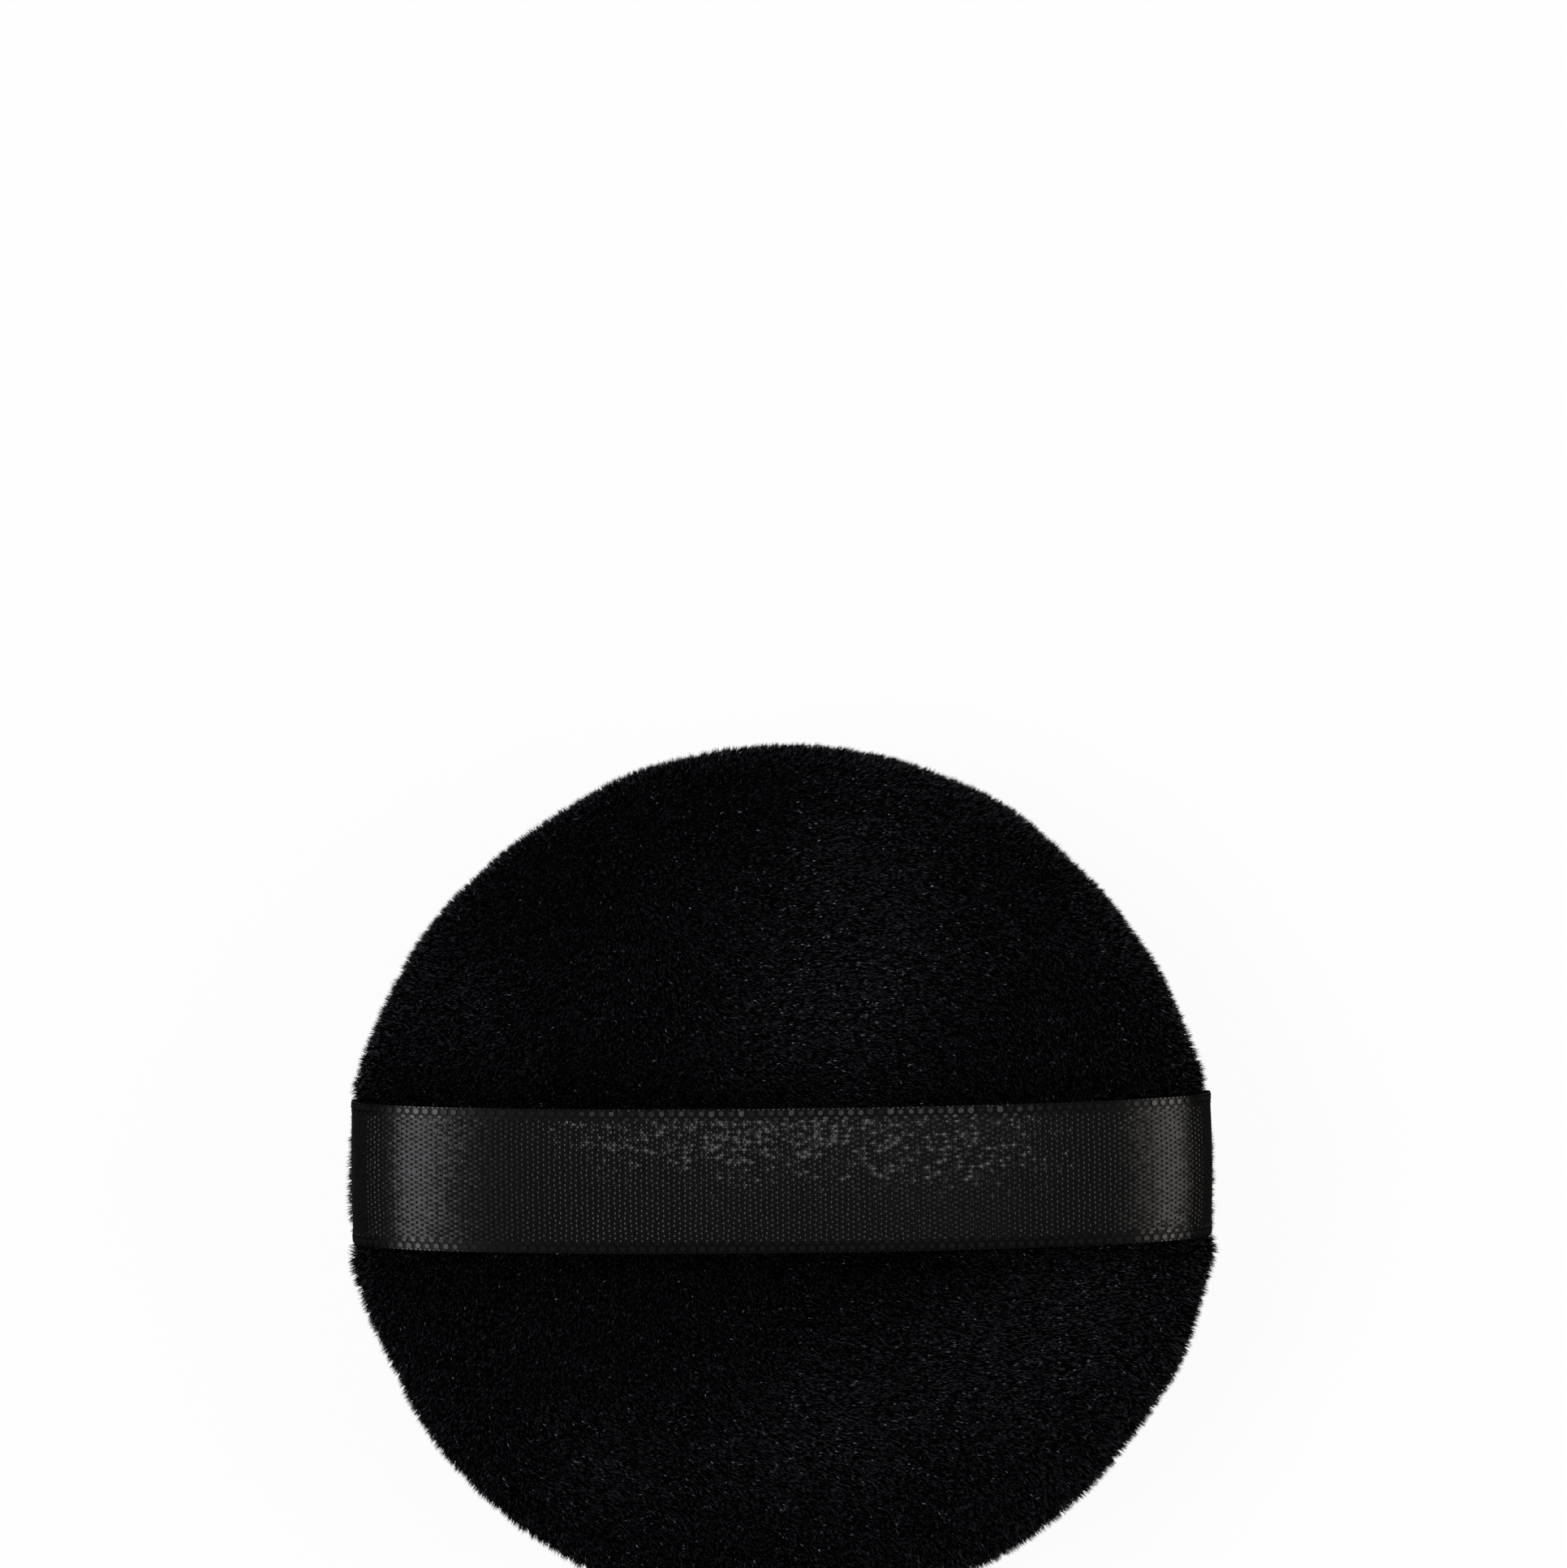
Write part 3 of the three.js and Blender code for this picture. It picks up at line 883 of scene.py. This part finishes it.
right_half = half_path()
ribbon_path = [Vector((-x, 0, z)) for x, z in right_half[:0:-1]] + [Vector((x, 0, z)) for x, z in right_half]
steps = [(b - a).length for a, b in zip(ribbon_path, ribbon_path[1:])]
RIBBON_LENGTH = sum(steps)
print(f"the ribbon is {RIBBON_WIDTH / MM:.1f} x {RIBBON_LENGTH / MM:.1f} mm when laid flat")

# %% The ribbon as a sheet
RIBBON_CROWN = 0.28 * MM
RIBBON_WAVE = 0.06 * MM
WAVE_SIZE = 17 * MM
WAVE_ACROSS = 1.3
WAVE_LAYER = 0.7
FREE_HEIGHT = 6 * MM
ACROSS_STEPS = 14


def ribbon_sheet():
    """The whole ribbon as an open sheet with a UV map, along and across it from 0 to 1."""
    points = []
    uvs = []
    along = 0.0
    for i, middle in enumerate(ribbon_path):
        before = ribbon_path[max(i - 1, 0)]
        after = ribbon_path[min(i + 1, len(ribbon_path) - 1)]
        out = (after - before).normalized().cross(Vector((0, 1, 0)))
        free = min(1.0, max(0.0, (middle.z - SEAM_Z) / FREE_HEIGHT))
        middle_y = RIBBON_END_Y - RIBBON_BOW * (1 - (middle.x / RIBBON_REACH) ** 2)
        for step in range(ACROSS_STEPS + 1):
            share = step / ACROSS_STEPS
            across = 2 * share - 1
            wave = noise.noise(Vector((along / WAVE_SIZE, WAVE_ACROSS * across, WAVE_LAYER)))
            lift = free * (RIBBON_WAVE * wave - RIBBON_CROWN * across * across)
            points.append(middle + Vector((0, middle_y + across * RIBBON_WIDTH / 2, 0)) + lift * out)
            uvs.append((along / RIBBON_LENGTH, share))
        along += steps[i] if i < len(steps) else 0.0
    row = ACROSS_STEPS + 1
    faces = []
    for i in range(len(ribbon_path) - 1):
        for step in range(ACROSS_STEPS):
            corner = i * row + step
            faces.append((corner, corner + row, corner + row + 1, corner + 1))
    sheet = new_piece("ribbon_sheet", points, faces)
    layer = sheet.data.uv_layers.new(name="along_across")
    for loop in sheet.data.loops:
        layer.data[loop.index].uv = uvs[loop.vertex_index]
    shade_smooth(sheet)
    return sheet


whole_ribbon = ribbon_sheet()
print(f"the ribbon's sheet has {len(whole_ribbon.data.polygons)} faces")


# %% [markdown]
# ## The satin weave
# Satin shines because its warp threads float over several others before they dip. Each float is a bowed
# bar with dipping ends, in rows along the ribbon that are staggered like bricks. Flat facets keep it dark
# until one of them mirrors a lamp: the bars' tops make the sheen on the shoulders, their ends the fine
# columns of dots in between. The selvedges are woven differently, as a row of flat knots, tiny loops
# outside it and short ties inside it. All of it is set out flat, in rows and columns, and every point is
# then carried onto the ribbon's sheet: its place along and across picks the spot, and its height goes
# along the normal. A bump map could imitate this, but would not sparkle.

# %% One float and one knot
# How strongly a float bows, dips and narrows towards its ends, and how far its inner facets spread.
FLOAT_BOW = 0.4
FLOAT_DIP = 0.4
FLOAT_PINCH = 6.0
FLOAT_SPREAD = 1.2


def float_bead(tree):
    """A bar of unit size: its top bows, its ends dip and narrow, its inner facets are the longer ones."""
    bar = add_node(tree, "GeometryNodeMeshCube", {"Vertices X": 7, "Vertices Y": 2, "Vertices Z": 2})
    place = add_node(tree, "ShaderNodeSeparateXYZ", {0: add_node(tree, "GeometryNodeInputPosition")})
    along = place.outputs[0]
    square = add_node(tree, "ShaderNodeMath", {0: along, 1: along}, operation="MULTIPLY")
    fourth = add_node(tree, "ShaderNodeMath", {0: square, 1: square}, operation="MULTIPLY")
    eighth = add_node(tree, "ShaderNodeMath", {0: fourth, 1: fourth}, operation="MULTIPLY")
    bow = add_node(tree, "ShaderNodeMath", {0: square, 1: -FLOAT_BOW * 2**2}, operation="MULTIPLY")
    dip = add_node(tree, "ShaderNodeMath", {0: eighth, 1: -FLOAT_DIP * 2**8}, operation="MULTIPLY")
    sag = add_node(tree, "ShaderNodeMath", {0: bow, 1: dip}, operation="ADD")
    narrowing = add_node(tree, "ShaderNodeMath", {0: fourth, 1: -FLOAT_PINCH}, operation="MULTIPLY")
    pinch = add_node(tree, "ShaderNodeMath", {0: narrowing, 1: place.outputs[1]}, operation="MULTIPLY")
    room = add_node(tree, "ShaderNodeMath", {0: 0.25, 1: square}, operation="SUBTRACT")
    spread = add_node(tree, "ShaderNodeMath", {0: room, 1: along}, operation="MULTIPLY")
    spread = add_node(tree, "ShaderNodeMath", {0: spread, 1: FLOAT_SPREAD}, operation="MULTIPLY")
    change = add_node(tree, "ShaderNodeCombineXYZ", {0: spread, 1: pinch, 2: sag})
    bowed = add_node(tree, "GeometryNodeSetPosition", {"Geometry": bar, "Offset": change})
    return add_node(tree, "GeometryNodeSetShadeSmooth", {0: bowed, "Shade Smooth": False})


def knot_bead(tree):
    """A flat button with eight sides."""
    button = add_node(
        tree, "GeometryNodeMeshCone", {"Vertices": 8, "Radius Top": 0.42, "Radius Bottom": 0.5, "Depth": 1.0}
    )
    return add_node(tree, "GeometryNodeSetShadeSmooth", {0: button, "Shade Smooth": False})


# %% Rows of beads on the flat ribbon
STRAY_ALONG = 0.04
STRAY_ACROSS = 0.01 * MM
STRAY_UP = 0.004 * MM
BEAD_TURN = Vector((1.0, 0.5, 0.3))
BEAD_SMALLEST = 0.85
BEAD_LARGEST = 1.12


def row_shift(tree, across, rows, width, pitch, stagger, phase):
    """How far each row is shifted along the ribbon."""
    row_gap = width / (rows - 1)
    to_row = (("DIVIDE", row_gap), ("ADD", rows / 2 + 0.5), ("FLOOR", 0.0))
    to_shift = (("MULTIPLY", stagger), ("ADD", phase), ("FRACT", 0.0), ("MULTIPLY", pitch))
    shift = across
    for operation, operand in to_row + to_shift:
        shift = add_node(tree, "ShaderNodeMath", {0: shift, 1: operand}, operation=operation)
    return shift


def bead_turn_and_scale(tree, given, size, seed):
    """Each bead's small random turn and growth, because no two threads lie alike."""
    tilt = add_node(
        tree,
        "FunctionNodeRandomValue",
        {0: -BEAD_TURN, 1: BEAD_TURN, "Seed": seed + 1},
        data_type="FLOAT_VECTOR",
    )
    turn = add_node(tree, "ShaderNodeVectorMath", {0: tilt, "Scale": given["Tilt"]}, operation="SCALE")
    growth = {2: BEAD_SMALLEST, 3: BEAD_LARGEST, "Seed": seed + 2}
    grown = add_node(tree, "FunctionNodeRandomValue", growth, data_type="FLOAT")
    scale = add_node(tree, "ShaderNodeVectorMath", {0: size, "Scale": grown.outputs[1]}, operation="SCALE")
    return turn, scale


def rows_of(tree, given, bead, material, rows, width, pitch, size, seed, stagger=0.0, phase=0.0, height=0.0):
    """Beads in rows along one half of the flat ribbon."""
    columns = int(RIBBON_LENGTH / pitch) - 1
    grid = add_node(
        tree,
        "GeometryNodeMeshGrid",
        {"Size X": (columns - 1) * pitch, "Size Y": width, "Vertices X": columns, "Vertices Y": rows},
    )
    place = add_node(tree, "ShaderNodeSeparateXYZ", {0: add_node(tree, "GeometryNodeInputPosition")})
    shift = row_shift(tree, place.outputs[1], rows, width, pitch, stagger, phase)
    move = add_node(tree, "ShaderNodeCombineXYZ", {0: shift, 1: 0.0, 2: height})
    limit = Vector((STRAY_ALONG * pitch, STRAY_ACROSS, STRAY_UP))
    stray = add_node(
        tree, "FunctionNodeRandomValue", {0: -limit, 1: limit, "Seed": seed}, data_type="FLOAT_VECTOR"
    )
    move = add_node(tree, "ShaderNodeVectorMath", {0: move, 1: stray}, operation="ADD")
    placed = add_node(tree, "GeometryNodeSetPosition", {"Geometry": grid, "Offset": move})
    side = add_node(tree, "ShaderNodeMath", {0: place.outputs[0], 1: given["Half"]}, operation="MULTIPLY")
    chosen = add_node(tree, "FunctionNodeCompare", {0: side, 1: 0.0}, operation="GREATER_THAN")
    turn, scale = bead_turn_and_scale(tree, given, size, seed)
    beads = add_node(
        tree,
        "GeometryNodeInstanceOnPoints",
        {"Points": placed, "Selection": chosen, "Instance": bead, "Rotation": turn, "Scale": scale},
    )
    real = add_node(tree, "GeometryNodeRealizeInstances", {"Geometry": beads})
    return add_node(tree, "GeometryNodeSetMaterial", {"Geometry": real, "Material": material})


# %% Carry the flat weave onto the ribbon
def lay_on_ribbon(tree, given, flat):
    """Moves each point of the flat weave to its spot on the ribbon's sheet, as high over it as it was."""
    position = add_node(tree, "GeometryNodeInputPosition")
    place = add_node(tree, "ShaderNodeSeparateXYZ", {0: position})
    shares = []
    for output, length in ((place.outputs[0], RIBBON_LENGTH), (place.outputs[1], RIBBON_WIDTH)):
        share = add_node(tree, "ShaderNodeMath", {0: output, 1: length}, operation="DIVIDE")
        shares.append(add_node(tree, "ShaderNodeMath", {0: share, 1: 0.5}, operation="ADD", use_clamp=True))
    spot = add_node(tree, "ShaderNodeCombineXYZ", {0: shares[0], 1: shares[1]})
    sampled = []
    for value in (position, add_node(tree, "GeometryNodeInputNormal")):
        inputs = {
            "Mesh": given["Ribbon"],
            "Value": value,
            "Source UV Map": read(tree, "along_across", "FLOAT_VECTOR"),
            "Sample UV": spot,
        }
        sampled.append(add_node(tree, "GeometryNodeSampleUVSurface", inputs, data_type="FLOAT_VECTOR"))
    raised = add_node(
        tree, "ShaderNodeVectorMath", {0: sampled[1], "Scale": place.outputs[2]}, operation="SCALE"
    )
    laid = add_node(tree, "ShaderNodeVectorMath", {0: sampled[0], 1: raised}, operation="ADD")
    return add_node(tree, "GeometryNodeSetPosition", {"Geometry": flat, "Position": laid})


# %% The whole weave
FLOAT_PITCH = 0.98 * MM
ROW_PITCH = 0.22 * MM
FLOAT_SIZE = Vector((0.92, 0.21, 0.06)) * MM
KNOT_PITCH = 0.9 * MM
KNOT_SIZE = Vector((0.64, 0.62, 0.14)) * MM
KNOT_INSET = 0.42 * MM
LOOP_SIZE = Vector((0.26, 0.22, 0.1)) * MM
LOOP_INSET = 0.07 * MM
TIE_SIZE = Vector((0.56, 0.34, 0.1)) * MM
TIE_INSET = 0.9 * MM
SELVEDGE = 1.15 * MM
WEAVE_INPUTS = {
    "Ribbon": "Geometry",
    "Half": "Float",
    "Tilt": "Float",
    "Float size": "Vector",
    "Knot size": "Vector",
    "Loop size": "Vector",
    "Tie size": "Vector",
}


def weave_tree(name, satin, selvedge):
    """Weaves one half of the ribbon: its satin field and the knots, loops and ties along its edges."""
    tree, given, identifiers = new_tree(name, WEAVE_INPUTS, "Weave")
    field = RIBBON_WIDTH - 2 * SELVEDGE
    floats = rows_of(
        tree,
        given,
        float_bead(tree),
        satin,
        rows=int(field / ROW_PITCH),
        width=field,
        pitch=FLOAT_PITCH,
        size=given["Float size"],
        seed=10,
        stagger=0.5,
        height=FLOAT_SIZE.z / 2,
    )
    woven = [floats]
    knot = knot_bead(tree)
    for label, inset, pitch, phase, seed in (
        ("Knot size", KNOT_INSET, KNOT_PITCH, 0.0, 20),
        ("Loop size", LOOP_INSET, KNOT_PITCH / 2, 0.0, 30),
        ("Tie size", TIE_INSET, KNOT_PITCH, 0.5, 40),
    ):
        width = RIBBON_WIDTH - 2 * inset
        woven.append(rows_of(tree, given, knot, selvedge, 2, width, pitch, given[label], seed, phase=phase))
    joined = add_node(tree, "GeometryNodeJoinGeometry")
    for part in woven:
        tree.links.new(part.outputs[0], joined.inputs[0])
    add_node(tree, "NodeGroupOutput", {"Weave": lay_on_ribbon(tree, given, joined)})
    return tree, identifiers


# %% [markdown]
# ## The ribbon's finishes
# Polyester satin thread is smooth, so it is black where it mirrors the dark room and grey where it
# mirrors a lamp. The thread of the selvedge is a little rougher. The cloth between the floats is left
# plain, painted darker than the thread as shade in the gaps. The back of the ribbon, which nobody strokes
# smooth, has the dull cross ribs of a satin's wrong side, with painted shade between the ribs.

# %% Satin, selvedge, hollows and underside
RIB_PITCH = 0.3 * MM
# At scale 1, the wave texture repeats after this length.
WAVE_PERIOD = math.pi / 10

# Filament polyester, woven as satin: smooth enough to mirror a lamp, black where it mirrors the room.
satin, _, _ = new_material(
    "black satin thread", Base_Color=linear("111111"), Roughness=0.12, Specular_IOR_Level=0.15
)
# The same thread, tied tightly at the edge: a slightly rougher, duller shine.
selvedge, _, _ = new_material(
    "black selvedge thread", Base_Color=linear("121212"), Roughness=0.2, Specular_IOR_Level=0.24
)
# The cloth that is seen in the gaps between the floats: painted darker than the thread, as shade in the
# gaps.
hollows, _, _ = new_material(
    "black satin hollows", Base_Color=linear("050505"), Roughness=0.4, Specular_IOR_Level=0.1
)
# The wrong side of the satin: dull ribs across the ribbon, drawn a little coarser than real.
underside, tree, shader = new_material("black satin underside", Roughness=0.5, Specular_IOR_Level=0.3)
ribs = add_node(tree, "ShaderNodeTexWave", {"Scale": WAVE_PERIOD / RIB_PITCH})
# Darker low between the ribs and lighter on their tops: painted shade.
colour_by_pattern(tree, shader, ribs, 1, "060606", "0e0e0e", depth=0.05 * MM)
weave, weave_inputs = weave_tree("weave satin", satin, selvedge)
print(f"the weave's tree has {len(weave.nodes)} nodes")

# %% Weave both halves, each with the cloth between its floats
STRIP_THICKNESS = 0.12 * MM
FLOAT_TILT = math.radians(4)
EDGE_ANGLE = math.radians(50)


def half_strip(name, sign):
    """The cloth between the floats: one half of the ribbon's sheet as a thin closed wall."""
    mesh = whole_ribbon.data
    kept = [p for p in mesh.polygons if p.center.x * sign > 0]
    numbers = sorted({v for p in kept for v in p.vertices})
    renumbered = {old: new for new, old in enumerate(numbers)}
    points = [mesh.vertices[v].co.copy() for v in numbers]
    strip = new_piece(name, points, [[renumbered[v] for v in p.vertices] for p in kept])
    add_wall(strip, STRIP_THICKNESS)
    strip.data.set_sharp_from_angle(angle=EDGE_ANGLE)
    # The top of the strip is painted darker than the thread: shade in the gaps between the floats.
    strip.data.materials.append(hollows)
    strip.data.materials.append(underside)
    for polygon in strip.data.polygons[len(kept) :]:
        polygon.material_index = 1
    return strip


loom = whole_ribbon.modifiers.new("weave", "NODES")
loom.node_group = weave
for side, sign in (("left", -1.0), ("right", 1.0)):
    values = {
        "Half": sign,
        "Tilt": FLOAT_TILT,
        "Float size": tuple(FLOAT_SIZE),
        "Knot size": tuple(KNOT_SIZE),
        "Loop size": tuple(LOOP_SIZE),
        "Tie size": tuple(TIE_SIZE),
    }
    mesh = worked_out(whole_ribbon, loom, weave_inputs, values, f"ribbon_weave_{side}")
    for layer in list(mesh.uv_layers):
        mesh.uv_layers.remove(layer)
    threads = new_object(mesh.name, mesh)
    strip = half_strip(f"ribbon_{side}", sign)
    for piece in (strip, threads):
        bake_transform(piece)
    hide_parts("ribbon_strap")
    print(f"{threads.name}: {len(mesh.polygons)} faces")
bpy.data.objects.remove(whole_ribbon)


# %% [markdown]
# ## The filling and the threads
# The foam disc only shows if a seam opens, but it belongs to the puff. It takes the solid's shape, and
# its material has the open pores of cut foam, with painted shade in them. The sewing threads keep their
# own solids, with the fine diagonal twist of spun polyester and painted shade in its grooves.

# %% The foam
PORE = 0.8 * MM


def merged_copy(name, node):
    """A copy of a CAD node, whose loose triangles are merged into one closed skin."""
    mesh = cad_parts[node].data.copy()
    skin = bmesh.new()
    skin.from_mesh(mesh)
    bmesh.ops.remove_doubles(skin, verts=skin.verts, dist=0.001 * MM)
    skin.to_mesh(mesh)
    skin.free()
    return new_object(name, mesh)


# Cut polyurethane foam: matt and creamy white, darker in each cut-open cell where the bump sinks: painted
# shade.
foam, tree, shader = new_material("white polyurethane foam", Roughness=0.95, Specular_IOR_Level=0.2)
pores = add_node(tree, "ShaderNodeTexVoronoi", {"Scale": 1 / PORE})
colour_by_pattern(tree, shader, pores, 0, "c4bfb1", "efece4", depth=0.3 * MM)
disc = merged_copy("foam_disc", "foam_core")
shade_smooth(disc)
disc.data.set_sharp_from_angle(angle=EDGE_ANGLE)
disc.data.materials.clear()
disc.data.materials.append(foam)
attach(disc, "puff")
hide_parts("foam_core")
print(f"foam_disc: {len(disc.data.polygons)} faces")

# %% The sewing thread
TWIST_PITCH = 0.25 * MM

# Spun polyester sewing thread: dull black with a fine diagonal twist.
thread, tree, shader = new_material("black spun polyester thread", Roughness=0.6, Specular_IOR_Level=0.3)
# Along an axis, diagonal bands are twice as wide as upright ones of the same scale.
twist_scale = 2 * WAVE_PERIOD / TWIST_PITCH
twist = add_node(tree, "ShaderNodeTexWave", {"Scale": twist_scale}, bands_direction="DIAGONAL")
# Darker in the grooves of the twist and lighter on its ridges: painted shade.
colour_by_pattern(tree, shader, twist, 1, "080808", "141416", depth=0.05 * MM)
for name in ("rim_seam_thread", "closing_thread", "ribbon_tack_left", "ribbon_tack_right"):
    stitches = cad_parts[name]
    stitches.data.materials.clear()
    stitches.data.materials.append(thread)
    print(f"{name}: twisted thread")
